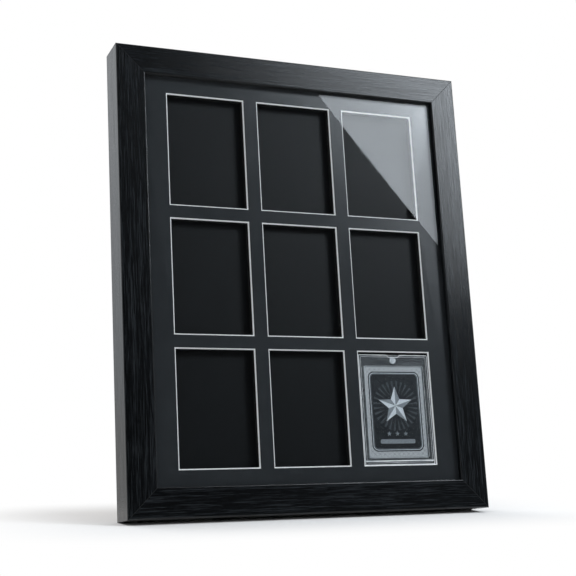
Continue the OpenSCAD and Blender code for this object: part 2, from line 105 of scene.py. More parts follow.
# Softbox, whose lower left edge draws the slanting line that the pane mirrors
SOFTBOX_EDGE_LEFT = Vector((0.640, -1.209, 1.159))
SOFTBOX_EDGE_RIGHT = Vector((0.905, -1.245, 0.828))
SOFTBOX_LEFT_EXTRA = 0.25
SOFTBOX_RIGHT_EXTRA = 0.2
SOFTBOX_DEPTH = 0.55
SOFTBOX_EDGE_LIGHT = 4.1
SOFTBOX_FAR_LIGHT = 15.0
SOFTBOX_GLOW = 0.07, 0.4
SOFTBOX_COLOUR = (0.86, 0.93, 1, 1)

FILL_AT = Vector((-1.02, 1.81, 1.25))
FILL_SIZE = 1.6
FILL_WATTS = 14

# World and floor, with the dark room in front that the pane and the rails mirror
WHITE = (1, 1, 1, 1)
AMBIENT = 0.75
MIRRORED_COLOUR = (0.92, 0.96, 1, 1)
HORIZON_MIRRORED = 0.5
HORIZON_HEIGHTS = -0.1, 0.35
ROOM_SIDE = (0, -0.97, 0.24)
ROOM_EDGE = 0.25, 0.6
ROOM_LIGHT = 0.02
FLOOR_SIZE = 30
FLOOR_ALBEDO = 0.8
FLOOR_LIT = 0.92
FLOOR_FADE = 0.16

# Tones of the materials from dark to light, as grey levels or colours
FOIL_TONES = (0.0006, 0.0011, 0.0016), (0.0250, 0.0285, 0.0320)
MITRE_TONE = 0.001
MAT_TONES = (0.0205, 0.0238, 0.0272), (0.0305, 0.0348, 0.0390)
CORE_TONES = (0.88, 0.89, 0.9), (0.95, 0.955, 0.96)
POCKET_FOAM_TONES = 0.006, 0.016
BACKING_FOAM_TONES = 0.012, 0.024
FELT_TONES = (0.0004, 0.0013, 0.0022), (0.0018, 0.0036, 0.0053)
HARDBOARD_TONES = (0.115, 0.062, 0.03), (0.19, 0.11, 0.058), (0.29, 0.185, 0.108)
STRUT_TONES = 0.010, 0.022
RUBBER_TONES = 0.012, 0.03
ZINC_TONES = (0.52, 0.53, 0.52), (0.66, 0.67, 0.66)
BRASS_TONES = (0.55, 0.4, 0.17), (0.82, 0.62, 0.28)
NICKEL_TONES = (0.6, 0.59, 0.56), (0.7, 0.69, 0.66)
NAIL_TONES = (0.3, 0.3, 0.3), (0.5, 0.5, 0.5)
MAGNET_TONES = (0.78, 0.78, 0.8), (0.9, 0.9, 0.91)
# Painted highlight on the holder's edges and steps
EDGE_HIGHLIGHT_TONES = (0.55, 0.58, 0.61), (0.93, 0.95, 0.97)
# Painted glare at the seam of the holder's halves
SEAM_GLARE_TONES = (0.22, 0.245, 0.27), (0.7, 0.74, 0.78)

# Inks of the card, as (dark tone, light tone, size of the grain)
INKS = {
    "card_print": ((0.3, 0.31, 0.33), (0.42, 0.43, 0.45), 0.6 * MM),
    "card_silver": ((0.48, 0.48, 0.49), (0.7, 0.7, 0.71), 1.2 * MM),
    "card_foil": ((0.24, 0.24, 0.25), (0.36, 0.36, 0.37), 0.8 * MM),
    "card_bright": ((0.72, 0.74, 0.77), (0.84, 0.86, 0.89), 0.8 * MM),
    "card_grey": ((0.2, 0.215, 0.235), (0.32, 0.34, 0.365), 0.8 * MM),
    "card_dark": ((0.006, 0.0075, 0.0095), (0.026, 0.029, 0.034), 4 * MM),
    "card_dusk": ((0.05, 0.055, 0.062), (0.09, 0.098, 0.11), 1.5 * MM),
}

# Optics of the clear pieces
PANE_TINT = (0.985, 0.99, 0.99, 1)
PANE_HEAD_ON = 0.04
HOLDER_TINT = (0.93, 0.955, 0.97, 1)
HOLDER_LIT_TINT = (0.9, 0.92, 0.93, 1)
HOLDER_IOR = 1.52
# Painted glare at the holder's seam: a pale sheet that lets most light through
SEAM_IOR = 1.5
SEAM_ALPHA = 0.22

# Welding and rounding of meshes
WELD_NODE = 0.002 * MM
WELD_LAYER = 0.001 * MM
FLAT_ANGLE = math.radians(1.5)
SHARP_ANGLE = math.radians(35)

# Heads of screws and rivets, as (radius, height) from the seat, and the cross recess,
# as (reach, half width) at its mouth and its floor
SCREW_PROFILE = (
    (3, 0), (3, 0.35), (2.9, 0.7), (2.6, 1.15), (2.15, 1.5), (1.75, 1.68), (1.6, 1.72),
)
RIVET_PROFILE = (2.8, 0), (2.75, 0.2), (2.55, 0.48), (2.1, 0.75), (1.4, 0.92), (0.6, 1)
SCREW_HEIGHT = 1.8 * MM
RIVET_HEIGHT = 1.0 * MM
HEAD_FACETS = 28
RECESS_MOUTH = 1.25, 0.3
RECESS_FLOOR = 0.75, 0.17
RECESS_DEPTH = 0.85 * MM

# Steps of a rounded corner, and of the layers of ink
CORNER_STEPS = 6
INK_STEP = 0.008 * MM

# Rounded rectangles on the card, as (width, height, corner radius, middle above its centre)
BORDER = 62.5, 87.9, 2.6, 0
PANEL_EDGE = 56.4, 78.4, 6, 0.5
PANEL_RIM = (54, 76, 5, 0.5), (52.8, 74.8, 4.6, 0.5)
PANEL_LINE = (51.4, 73.4, 4, 0.5), (50.8, 72.8, 3.8, 0.5)
NAME_BAR = 38, 4.2, 1.4, -29

# Hatch on the border, star, rays round it and small stars below it. The waist is a share of
# the star's radius, and the spread is a share of the space between two rays
HATCH_SIZE = 60.5, 85.9
HATCH_STEP = 5.2
HATCH_LINE = 0.45
STAR_RADIUS = 19
STAR_MIDDLE = 6
STAR_WAIST = 0.42
RAYS = 28
RAYS_FROM = 12
RAYS_TO = 24.5
RAY_SPREAD = 0.22
SMALL_STAR_RADIUS = 2.6
SMALL_STARS_MIDDLE = -21.5
SMALL_STARS_ACROSS = -9, 0, 9

# The holder's front, its notch, and how far the card's middle lies below its own
HOLDER_SIZE = 77, 109
HOLDER_EDGE = 0.35 * MM
NOTCH_WIDTH = 14
NOTCH_DEPTH = 2.2
CARD_DROP = 2.2

# Painted highlight lines along the holder's rim, and the outer edge of the painted glare at its
# seam, as (inset, corner radius)
RIM_LINE = (0.5, 1.2), (1.1, 0.6)
SEAM_RIM = 1, 0.8

# Thin frames of painted highlight on the holder, as (width, height, corner radius, line)
STEP_LINE = 72, 104, 1, 0.25
RECESS_LINE = 65, 90.4, 2, 0.2

# Rounded rectangles on the holder, as (width, height, corner radius, middle above its centre): the
# painted highlight along its foot, and the hole in the painted glare at its seam
FOOT_LINE = 74, 1.1, 0.3, -50.2
SEAM_RECESS = 64.2, 89.6, 0.8, 0
SEAM_DEPTH = 3.0 * MM

RANDOM = random.Random(9)


# Node trees


def nodes_of(owner):
    """The emptied node tree of a material or world."""
    owner.use_nodes = True
    owner.node_tree.nodes.clear()
    return owner.node_tree


def add(tree, kind, inputs=None, **settings):
    """A node with its settings, and a value or a link for each input that is given."""
    node = tree.nodes.new("ShaderNode" + kind)
    for name, value in settings.items():
        setattr(node, name, value)
    for key, value in (inputs or {}).items():
        if isinstance(value, bpy.types.NodeSocket):
            tree.links.new(value, node.inputs[key])
        else:
            node.inputs[key].default_value = value
    return node


def link(tree, value, shader, name):
    tree.links.new(value, shader.inputs[name])


def show(tree, shader, output="OutputMaterial"):
    """Makes a shader the surface of its material or world."""
    add(tree, output, {"Surface": shader.outputs[0]})


def maths(tree, operation, a, b=0.0, c=0.0):
    return add(tree, "Math", {0: a, 1: b, 2: c}, operation=operation).outputs[0]


def vector_maths(tree, operation, a, b=(0, 0, 0), output="Value"):
    return add(tree, "VectorMath", {0: a, 1: b}, operation=operation).outputs[output]


def ramp(tree, value, low, high, to_low=0.0, to_high=1.0):
    """Moves a value smoothly from one range to another and keeps it there."""
    inputs = {
        "Value": value, "From Min": low, "From Max": high, "To Min": to_low, "To Max": to_high,
    }
    return add(tree, "MapRange", inputs, interpolation_type="SMOOTHSTEP").outputs["Result"]


def weighted(tree, first, second, share):
    """The first value by its share plus the second by the rest."""
    first_part = maths(tree, "MULTIPLY", first, share)
    second_part = maths(tree, "MULTIPLY", second, 1 - share)
    return maths(tree, "ADD", first_part, second_part)


def mixed_colour(tree, share, first, second):
    """One colour where share is 0, another where it is 1. The node's third output is the colour."""
    node = add(tree, "Mix", {"Factor": share, "A": first, "B": second}, data_type="RGBA")
    return node.outputs[2]


def mixed_shader(tree, share, first, second):
    """One shader where share is 0, another where it is 1."""
    return add(tree, "MixShader", {0: share, 1: first.outputs[0], 2: second.outputs[0]})


def grey(level):
    return (level, level, level, 1)


def bent_rays(tree):
    """1 for rays from a mirror and from glass."""
    path = add(tree, "LightPath").outputs
    return maths(tree, "MAXIMUM", path["Is Glossy Ray"], path["Is Transmission Ray"])


# Camera, light and floor


def new_object(name, data):
    """An object in the scene, made of a camera, a lamp or a mesh."""
    obj = bpy.data.objects.new(name, data)
    bpy.context.scene.collection.objects.link(obj)
    return obj


def make_camera():
    data = bpy.data.cameras.new("camera")
    data.lens = CAMERA_LENS
    data.sensor_width = CAMERA_SENSOR
    data.clip_start = CAMERA_NEAR
    camera = new_object("camera", data)
    camera.location = CAMERA_AT
    camera.rotation_euler = (math.pi / 2 + CAMERA_PITCH, 0, -CAMERA_AZIMUTH)
    bpy.context.scene.camera = camera


def make_world():
    """White behind the object and around it, dim for diffuse light, with a dark room in front."""
    world = bpy.data.worlds.new("studio")
    bpy.context.scene.world = world
    tree = nodes_of(world)
    path = add(tree, "LightPath").outputs
    where = add(tree, "TexCoord").outputs["Generated"]
    height = add(tree, "SeparateXYZ", {0: where}).outputs["Z"]
    around = ramp(tree, height, *HORIZON_HEIGHTS, HORIZON_MIRRORED, 1.0)
    towards_room = vector_maths(tree, "DOT_PRODUCT", where, ROOM_SIDE)
    room = ramp(tree, towards_room, *ROOM_EDGE, 1.0, ROOM_LIGHT)
    bent = bent_rays(tree)
    mirrored = maths(tree, "MULTIPLY", bent, maths(tree, "MULTIPLY", around, room))
    shown = maths(tree, "MAXIMUM", path["Is Camera Ray"], mirrored)
    ambient = maths(tree, "MULTIPLY", path["Is Diffuse Ray"], AMBIENT)
    level = maths(tree, "MAXIMUM", shown, ambient)
    colour = mixed_colour(tree, bent, WHITE, MIRRORED_COLOUR)
    background = add(tree, "Background", {"Color": colour, "Strength": level})
    show(tree, background, "OutputWorld")


def stage_piece(name, corners, material_name):
    """A four-sided piece of the studio, and the emptied node tree of its material."""
    mesh = bpy.data.meshes.new(name)
    mesh.from_pydata(corners, [], [(0, 1, 2, 3)])
    material = bpy.data.materials.new(material_name)
    mesh.materials.append(material)
    obj = new_object(name, mesh)
    return obj, nodes_of(material)


def make_softbox():
    """A large soft light in front on the right, brighter away from its lower left edge."""
    along = (SOFTBOX_EDGE_RIGHT - SOFTBOX_EDGE_LEFT).normalized()
    middle = (SOFTBOX_EDGE_LEFT + SOFTBOX_EDGE_RIGHT) / 2
    away = (middle - LIGHTS_FACE).normalized()
    across = away.cross(along).normalized()
    reach = across * SOFTBOX_DEPTH
    left = SOFTBOX_EDGE_LEFT - along * SOFTBOX_LEFT_EXTRA
    right = SOFTBOX_EDGE_RIGHT + along * SOFTBOX_RIGHT_EXTRA
    corners = [left, right, right + reach, left + reach]
    softbox, tree = stage_piece("softbox", corners, "softbox_light")
    softbox.visible_camera = False
    where = add(tree, "TexCoord").outputs["Object"]
    offset = vector_maths(tree, "SUBTRACT", where, left, "Vector")
    depth = vector_maths(tree, "DOT_PRODUCT", offset, across)
    level = ramp(tree, depth, *SOFTBOX_GLOW, SOFTBOX_EDGE_LIGHT, SOFTBOX_FAR_LIGHT)
    show(tree, add(tree, "Emission", {"Color": SOFTBOX_COLOUR, "Strength": level}))


def make_fill():
    """A soft light behind on the left, for the side and the back."""
    data = bpy.data.lights.new("fill", "AREA")
    data.shape = "SQUARE"
    data.size = FILL_SIZE
    data.energy = FILL_WATTS
    fill = new_object("fill", data)
    fill.location = FILL_AT
    fill.visible_glossy = False
    fill.rotation_euler = (LIGHTS_FACE - FILL_AT).to_track_quat("-Z", "Y").to_euler()


def beyond_footprint(tree):
    """How far a place on the floor lies outside the object's footprint."""
    split = add(tree, "SeparateXYZ", {0: add(tree, "TexCoord").outputs["Object"]})
    past = []
    for axis, reach in (("X", CAD_BOX[1].x), ("Y", CAD_BOX[1].y)):
        from_middle = maths(tree, "ABSOLUTE", split.outputs[axis])
        past.append(maths(tree, "MAXIMUM", maths(tree, "SUBTRACT", from_middle, reach), 0.0))
    both = add(tree, "CombineXYZ", {0: past[0], 1: past[1]})
    return vector_maths(tree, "LENGTH", both.outputs[0])


def make_floor():
    """A white floor that keeps the object's shadow near it and is plain white further out."""
    half = FLOOR_SIZE / 2
    corners = [(-half, -half, 0), (half, -half, 0), (half, half, 0), (-half, half, 0)]
    tree = stage_piece("floor", corners, "floor_white")[1]
    path = add(tree, "LightPath").outputs
    plain = add(tree, "BsdfDiffuse", {"Color": grey(FLOOR_ALBEDO)})
    near = add(tree, "BsdfDiffuse", {"Color": grey(FLOOR_LIT)})
    dimmed = maths(tree, "MULTIPLY", path["Is Glossy Ray"], 1 - HORIZON_MIRRORED)
    far = add(tree, "Emission", {"Strength": maths(tree, "SUBTRACT", 1.0, dimmed)})
    distance = ramp(tree, beyond_footprint(tree), 0, FLOOR_FADE)
    shown = mixed_shader(tree, distance, near, far)
    seen = maths(tree, "MAXIMUM", path["Is Camera Ray"], bent_rays(tree))
    show(tree, mixed_shader(tree, seen, plain, shown))


# Patterns for the materials


def own_axes(tree, size=(1, 1, 1)):
    """The place on the object in the leaning frame's own axes, in units of size."""
    where = add(tree, "TexCoord").outputs["Object"]
    inputs = {
        "Vector": where, "Location": (0, REAR_EDGE_Y, 0), "Rotation": (-LEAN, 0, 0), "Scale": size,
    }
    return add(tree, "Mapping", inputs, vector_type="TEXTURE").outputs[0]


def noise(tree, size, detail=3.0, roughness=0.55, distortion=0.0):
    """A cloud of values with features of about the given size, in metres."""
    vector = own_axes(tree, size if isinstance(size, tuple) else (size,) * 3)
    inputs = {
        "Vector": vector, "Scale": 1.0, "Detail": detail, "Roughness": roughness,
        "Distortion": distortion,
    }
    return add(tree, "TexNoise", inputs).outputs["Fac"]


def cells(tree, size, **settings):
    """How far a place lies from the middle of its cell, for cells of about the given size."""
    inputs = {"Vector": own_axes(tree, (size,) * 3), "Scale": 1.0}
    return add(tree, "TexVoronoi", inputs, **settings).outputs["Distance"]


def tones(tree, value, places, colours):
    """A colour ramp with a colour or grey level at each place from 0 to 1."""
    node = add(tree, "ValToRGB", {"Fac": value})
    elements = node.color_ramp.elements
    while len(elements) < len(places):
        elements.new(0.5)
    for element, position, colour in zip(elements, places, colours):
        element.position = position
        rgb = colour if isinstance(colour, tuple) else (colour,) * 3
        element.color = rgb + (1,)
    return node.outputs["Color"]


def paint(tree, shader, value, places, colours):
    """Colours a shader by a value, as tones does."""
    link(tree, tones(tree, value, places, colours), shader, "Base Color")


def bump(tree, shader, height, strength, distance, below=None):
    """Raises the surface by a height from 0 to 1, over another bump if one is given."""
    inputs = {"Height": height, "Strength": strength, "Distance": distance}
    if below is not None:
        inputs["Normal"] = below
    node = add(tree, "Bump", inputs)
    link(tree, node.outputs[0], shader, "Normal")
    return node.outputs[0]


# Materials


def blank_material(name):
    material = bpy.data.materials.new(name)
    return material, nodes_of(material)


def principled(tree, **inputs):
    """A Principled shader. Words in the names of inputs are joined by _."""
    named = {key.replace("_", " "): value for key, value in inputs.items()}
    return add(tree, "BsdfPrincipled", named)


def new_material(name, **inputs):
    """A material with one Principled shader."""
    material, tree = blank_material(name)
    shader = principled(tree, **inputs)
    show(tree, shader)
    return material, tree, shader


def mitre_gap(tree):
    """0 on the mitre lines of the rails, 1 away from them."""
    split = add(tree, "SeparateXYZ", {0: own_axes(tree)}).outputs
    across = maths(tree, "ABSOLUTE", split["X"])
    up = maths(tree, "ABSOLUTE", maths(tree, "SUBTRACT", split["Z"], FRAME_H / 2))
    from_side = maths(tree, "SUBTRACT", FRAME_W / 2, across)
    from_end = maths(tree, "SUBTRACT", FRAME_H / 2, up)
    apart = maths(tree, "ABSOLUTE", maths(tree, "SUBTRACT", from_side, from_end))
    return ramp(tree, apart, 0.15 * MM, 0.5 * MM)


def rail_noise(tree, upright, along, across, **settings):
    """Noise with features that are longer along a rail than across it."""
    size = (across, across, along) if upright else (along, across, across)
    return noise(tree, size, **settings)


def rail_foil(name, upright):
    """Black foil with an embossed wood grain that runs along the rail."""
    material, tree, shader = new_material(name, Specular_IOR_Level=0.37)
    grain = rail_noise(
        tree, upright, along=28 * MM, across=0.9 * MM, detail=4.0, roughness=0.7, distortion=0.15,
    )
    band = rail_noise(tree, upright, along=160 * MM, across=7 * MM, detail=2.0)
    streaks = weighted(tree, grain, band, share=0.75)
    gap = mitre_gap(tree)
    colour = tones(tree, streaks, (0.46, 0.67), FOIL_TONES)
    link(tree, mixed_colour(tree, gap, grey(MITRE_TONE), colour), shader, "Base Color")
    pores = ramp(tree, streaks, 0.42, 0.58, to_low=0.26, to_high=0.1)
    rough_gap = ramp(tree, gap, 0, 1, to_low=0.7, to_high=0)
    link(tree, maths(tree, "MAXIMUM", pores, rough_gap), shader, "Roughness")
    below = bump(tree, shader, gap, strength=0.15, distance=0.05 * MM)
    bump(tree, shader, streaks, strength=0.8, distance=0.15 * MM, below=below)
    return material


def mat_face():
    """Charcoal mat paper with a fine tooth and faint clouds."""
    material, tree, shader = new_material("mat_face", Roughness=0.19, Specular_IOR_Level=0.6)
    tooth = noise(tree, 0.35 * MM, detail=4.0, roughness=0.65)
    cloud = noise(tree, 30 * MM, detail=2.0)
    paint(tree, shader, weighted(tree, tooth, cloud, share=0.6), (0.3, 0.7), MAT_TONES)
    bump(tree, shader, tooth, strength=0.35, distance=0.05 * MM)
    return material


def mat_core():
    """White board core, cut with a sharp knife."""
    material, tree, shader = new_material("mat_white_core", Roughness=0.8)
    fibre = noise(tree, 0.25 * MM)
    paint(tree, shader, fibre, (0.3, 0.7), CORE_TONES)
    bump(tree, shader, fibre, strength=0.2, distance=0.03 * MM)
    return material


def foam(name, dark_and_light):
    """Closed-cell foam with fine pores."""
    material, tree, shader = new_material(name, Roughness=0.9, Specular_IOR_Level=0.3)
    pores = cells(tree, 0.5 * MM)
    cloud = noise(tree, 8 * MM)
    paint(tree, shader, weighted(tree, pores, cloud, share=0.5), (0.25, 0.7), dark_and_light)
    bump(tree, shader, pores, strength=0.5, distance=0.08 * MM)
    return material


def black_felt():
    """Short black felt, with matted fibres and a little sheen."""
    material, tree, shader = new_material(
        "black_felt", Roughness=0.42, Specular_IOR_Level=0.2, Sheen_Weight=0.02,
        Sheen_Roughness=0.6,
    )
    fibres = noise(tree, 0.45 * MM, detail=5.0, roughness=0.7, distortion=1.5)
    nap = noise(tree, 5 * MM)
    paint(tree, shader, weighted(tree, fibres, nap, share=0.7), (0.3, 0.7), FELT_TONES)
    bump(tree, shader, fibres, strength=0.7, distance=0.12 * MM)
    return material


def hardboard():
    """Brown hardboard with pressed fibres."""
    material, tree, shader = new_material("back_fibreboard", Roughness=0.7, Specular_IOR_Level=0.35)
    fibres = noise(tree, 1.1 * MM, detail=6.0, roughness=0.72, distortion=1.2)
    cloud = noise(tree, 40 * MM)
    value = weighted(tree, fibres, cloud, share=0.7)
    paint(tree, shader, value, (0.3, 0.5, 0.72), HARDBOARD_TONES)
    bump(tree, shader, fibres, strength=0.4, distance=0.1 * MM)
    return material


def covered_board():
    """Board covered in black paper with an embossed leather grain."""
    material, tree, shader = new_material("strut_paper", Roughness=0.55, Specular_IOR_Level=0.45)
    pebbles = cells(tree, 1.3 * MM, feature="SMOOTH_F1")
    scuffs = noise(tree, 25 * MM, detail=4.0)
    paint(tree, shader, scuffs, (0.35, 0.75), STRUT_TONES)
    bump(tree, shader, pebbles, strength=0.6, distance=0.12 * MM)
    return material


def metal(name, dull_and_clean, rough=0.32):
    """Plated metal with light scratches and dull patches."""
    material, tree, shader = new_material(name, Metallic=1.0)
    scratches = noise(tree, (3 * MM, 0.25 * MM, 3 * MM), roughness=0.6)
    patches = noise(tree, 3 * MM, detail=4.0, roughness=0.6)
    paint(tree, shader, patches, (0.35, 0.65), dull_and_clean)
    worn = ramp(tree, patches, 0.3, 0.7, to_low=rough + 0.14, to_high=rough - 0.05)
    link(tree, worn, shader, "Roughness")
    bump(tree, shader, scratches, strength=0.15, distance=0.02 * MM)
    return material


def rubber():
    """Black rubber with a dusty bloom."""
    material, tree, shader = new_material("bumper_rubber", Roughness=0.75, Specular_IOR_Level=0.4)
    bloom = noise(tree, 1.5 * MM, detail=4.0)
    paint(tree, shader, bloom, (0.35, 0.7), RUBBER_TONES)
    bump(tree, shader, bloom, strength=0.2, distance=0.05 * MM)
    return material


def mirrored_share(tree, head_on):
    """What a clear surface mirrors, by how steeply it is seen, the same from both sides."""
    facing = add(tree, "LayerWeight", {"Blend": 0.5}).outputs["Facing"]
    steep = maths(tree, "POWER", facing, 5.0)
    return maths(tree, "MULTIPLY_ADD", steep, 1 - head_on, head_on)


def clear_pane():
    """A thin clear sheet that mirrors a little and bends nothing."""
    material, tree = blank_material("clear_pane")
    through = add(tree, "BsdfTransparent", {"Color": PANE_TINT})
    smear = ramp(tree, noise(tree, 60 * MM), 0.4, 0.8, to_low=0.008, to_high=0.03)
    mirror = add(tree, "BsdfGlossy", {"Color": WHITE, "Roughness": smear})
    show(tree, mixed_shader(tree, mirrored_share(tree, PANE_HEAD_ON), through, mirror))
    return material


def clear_holder():
    """Clear polystyrene that lets all light from lamps and room reach the card."""
    material, tree = blank_material("clear_holder")
    glass = principled(tree, Base_Color=HOLDER_TINT, Transmission_Weight=1.0, IOR=HOLDER_IOR)
    wipes = noise(tree, 12 * MM, detail=4.0)
    smear = ramp(tree, wipes, 0.35, 0.75, to_low=0.01, to_high=0.06)
    link(tree, smear, glass, "Roughness")
    through = add(tree, "BsdfTransparent", {"Color": HOLDER_LIT_TINT})
    path = add(tree, "LightPath").outputs
    lighting = maths(tree, "MAXIMUM", path["Is Shadow Ray"], path["Is Diffuse Ray"])
    show(tree, mixed_shader(tree, lighting, glass, through))
    return material


def clear_edge_highlight():
    """Painted highlight on the holder's polished edges: an opaque pale colour for the light they
    gather, which looks milky.
    """
    material, tree, shader = new_material("clear_edge_highlight", Roughness=0.22, IOR=HOLDER_IOR)
    flow = noise(tree, 14 * MM)
    paint(tree, shader, flow, (0.35, 0.65), EDGE_HIGHLIGHT_TONES)
    bump(tree, shader, flow, strength=0.1, distance=0.05 * MM)
    return material


def holder_seam_glare():
    """Painted glare where the touching faces of the holder's halves part: a pale see-through sheet
    for the light they catch there.
    """
    material, tree, shader = new_material(
        "holder_seam_glare", Roughness=0.35, IOR=SEAM_IOR, Alpha=SEAM_ALPHA,
    )
    drift = noise(tree, (30 * MM, 30 * MM, 3 * MM), detail=4.0, roughness=0.6)
    paint(tree, shader, drift, (0.35, 0.65), SEAM_GLARE_TONES)
    return material


def ink(name, rough=0.3, metallic=0.0):
    """Gloss ink on the card, with a faint screen of dots."""
    dark, light, size = INKS[name]
    material, tree, shader = new_material(name, Roughness=rough, Metallic=metallic, Coat_Weight=0.3)
    grain = noise(tree, size, roughness=0.6)
    paint(tree, shader, grain, (0.3, 0.7), (dark, light))
    bump(tree, shader, grain, strength=0.05, distance=0.01 * MM)
    return material


def dress(nodes, material):
    """Gives CAD nodes a material in place of their own."""
    for name in nodes:
        mesh = frame["nodes"][name].data
        mesh.materials.clear()
        mesh.materials.append(material)


def dress_nodes():
    """Gives every CAD node its material."""
    dress(LEVEL_RAILS, rail_foil("black_rail_level", upright=False))
    dress(UPRIGHT_RAILS, rail_foil("black_rail_upright", upright=True))
    dress(["corner_nails"], metal("nail_steel", NAIL_TONES, rough=0.4))
    dress(["pane"], clear_pane())
    dress(["mat_paper"], mat_face())
    dress(["mat_core"], mat_core())
    dress(["pocket_sheet"], foam("pocket_foam", POCKET_FOAM_TONES))
    dress(["pocket_felt"], black_felt())
    dress(["backing_foam"], foam("backing_foam", BACKING_FOAM_TONES))
    dress(["back_board"], hardboard())
    dress(["easel_strut"], covered_board())
    dress(["wall_bumpers"], rubber())
    dress(BUTTONS + ["button_screws", "hanger_screws"], metal("zinc_steel", ZINC_TONES))
    dress(STRAPS + RINGS, metal("brassed_steel", BRASS_TONES, rough=0.28))
    nickel = metal("nickel_steel", NICKEL_TONES, rough=0.3)
    dress(LEAVES + ["hinge_pin", "base_rivets", "strut_rivets"], nickel)
    dress(HOLDER, clear_holder())
    dress(["base_magnet", "lid_magnet"], metal("magnet_nickel", MAGNET_TONES, rough=0.45))
    dress(["card"], ink("card_print"))


# Pieces that stand for CAD nodes


def material_of(node):
    return frame["nodes"][node].data.materials[0]


def own_mesh(node, turn=LEANED):
    """A CAD node's welded mesh, in the axes in which it lies flat."""
    bm = bmesh.new()
    bm.from_mesh(frame["nodes"][node].data)
    bm.transform(turn.inverted())
    bmesh.ops.remove_doubles(bm, verts=bm.verts, dist=WELD_NODE)
    return bm


def box_of(places):
    """Lowest and highest corner of some points."""
    low = Vector(min(point[axis] for point in places) for axis in range(3))
    high = Vector(max(point[axis] for point in places) for axis in range(3))
    return low, high


def solids_of(node, turn=LEANED):
    """The box of each separate solid of a CAD node, in the axes in which it lies flat."""
    bm = own_mesh(node, turn)
    waiting = set(bm.verts)
    boxes = []
    while waiting:
        front = [waiting.pop()]
        places = []
        while front:
            vert = front.pop()
            places.append(vert.co.copy())
            near = {edge.other_vert(vert) for edge in vert.link_edges} & waiting
            waiting -= near
            front.extend(near)
        boxes.append(box_of(places))
    bm.free()
    return sorted(boxes, key=lambda box: tuple(box[0]))


def piece(name, bm, material, body, turn=LEANED):
    """Makes an object of a mesh that was drawn in a body's own axes, and lets it ride there."""
    bm.transform(turn)
    mesh = bpy.data.meshes.new(name)
    bm.to_mesh(mesh)
    bm.free()
    mesh.materials.append(material)
    obj = new_object(name, mesh)
    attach(obj, body)
    return obj


def is_sharp(edge):
    return edge.is_manifold and edge.calc_face_angle() > SHARP_ANGLE


def softened(node, width, steps=2, highlight_material=None):
    """The CAD node with its sharp edges rounded, as worn or moulded edges are."""
    bm = own_mesh(node, IN_PLACE)
    bmesh.ops.dissolve_limit(bm, angle_limit=FLAT_ANGLE, verts=bm.verts, edges=bm.edges)
    made = bmesh.ops.bevel(
        bm, geom=[edge for edge in bm.edges if is_sharp(edge)], offset=width,
        offset_type="OFFSET", segments=steps, profile=0.5, affect="EDGES", clamp_overlap=True,
    )
    for face in bm.faces:
        face.smooth = True
    # Where a second material is given, the rounded edges take it: on the holder, a painted
    # highlight
    for face in made["faces"]:
        face.material_index = 1 if highlight_material else 0
    obj = piece(node + "_rounded", bm, material_of(node), BODY_OF[node], IN_PLACE)
    obj.modifiers.new("flat_faces", "WEIGHTED_NORMAL").keep_sharp = True
    if highlight_material:
        obj.data.materials.append(highlight_material)
    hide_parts(node)


def round_edges(highlight_material):
    """Rounds the edges of metal, rubber, strut, holder and rails."""
    for node in BUTTONS:
        softened(node, 0.25 * MM)
    for node in STRAPS:
        softened(node, 0.2 * MM)
    for node in LEAVES:
        softened(node, 0.2 * MM)
    softened("wall_bumpers", 0.6 * MM, steps=3)
    softened("easel_strut", 0.4 * MM)
    for node in HOLDER:
        softened(node, HOLDER_EDGE, highlight_material=highlight_material)
    for node in LEVEL_RAILS + UPRIGHT_RAILS:
        softened(node, 0.3 * MM)


def ring(bm, seat, radius, y):
    """A ring of points about an axis that runs from front to back."""
    turns = (math.tau * i / HEAD_FACETS for i in range(HEAD_FACETS))
    offsets = [Vector((radius * math.cos(t), y, radius * math.sin(t))) for t in turns]
    return [bm.verts.new(seat + offset) for offset in offsets]


def join_rings(bm, first, second):
    for i in range(len(first)):
        face = bm.faces.new((first[i - 1], second[i - 1], second[i], first[i]))
        face.smooth = True


def turned_profile(bm, seat, profile):
    """Draws the surface that a profile sweeps about the seat's axis, and gives its last ring."""
    rings = [ring(bm, seat, radius * MM, y * MM) for radius, y in profile]
    for first, second in zip(rings, rings[1:]):
        join_rings(bm, first, second)
    return rings[-1]


def cross_points(bm, seat, y, cross, turn):
    """The twelve corners of a cross, turned about its middle."""
    reach, half = cross
    arm = (reach, half), (half, half), (half, reach)
    points = []
    for quarter in range(4):
        t = quarter * math.pi / 2 + turn
        for x, z in arm:
            across = x * math.cos(t) - z * math.sin(t)
            up = x * math.sin(t) + z * math.cos(t)
            points.append(bm.verts.new(seat + Vector((across * MM, y, up * MM))))
    return points


def edges_round(bm, outline):
    """The edges round an outline, new where two neighbours have none yet."""
    pairs = [(outline[i - 1], outline[i]) for i in range(len(outline))]
    return [bm.edges.get(pair) or bm.edges.new(pair) for pair in pairs]


def screw_head(bm, seat, turn):
    """A pan head with a cross recess, seen from behind."""
    rim = turned_profile(bm, seat, SCREW_PROFILE)
    top = SCREW_PROFILE[-1][1] * MM
    mouth = cross_points(bm, seat, top, RECESS_MOUTH, turn)
    floor = cross_points(bm, seat, top - RECESS_DEPTH, RECESS_FLOOR, turn)
    join_rings(bm, mouth, floor)
    bm.faces.new(floor)
    bounds = edges_round(bm, rim) + edges_round(bm, mouth)
    bmesh.ops.triangle_fill(bm, edges=bounds, use_beauty=True, normal=(0, 1, 0))


def rivet_head(bm, seat, turn):
    """A domed head, closed in the middle and the same at every turn."""
    bm.faces.new(turned_profile(bm, seat, RIVET_PROFILE))


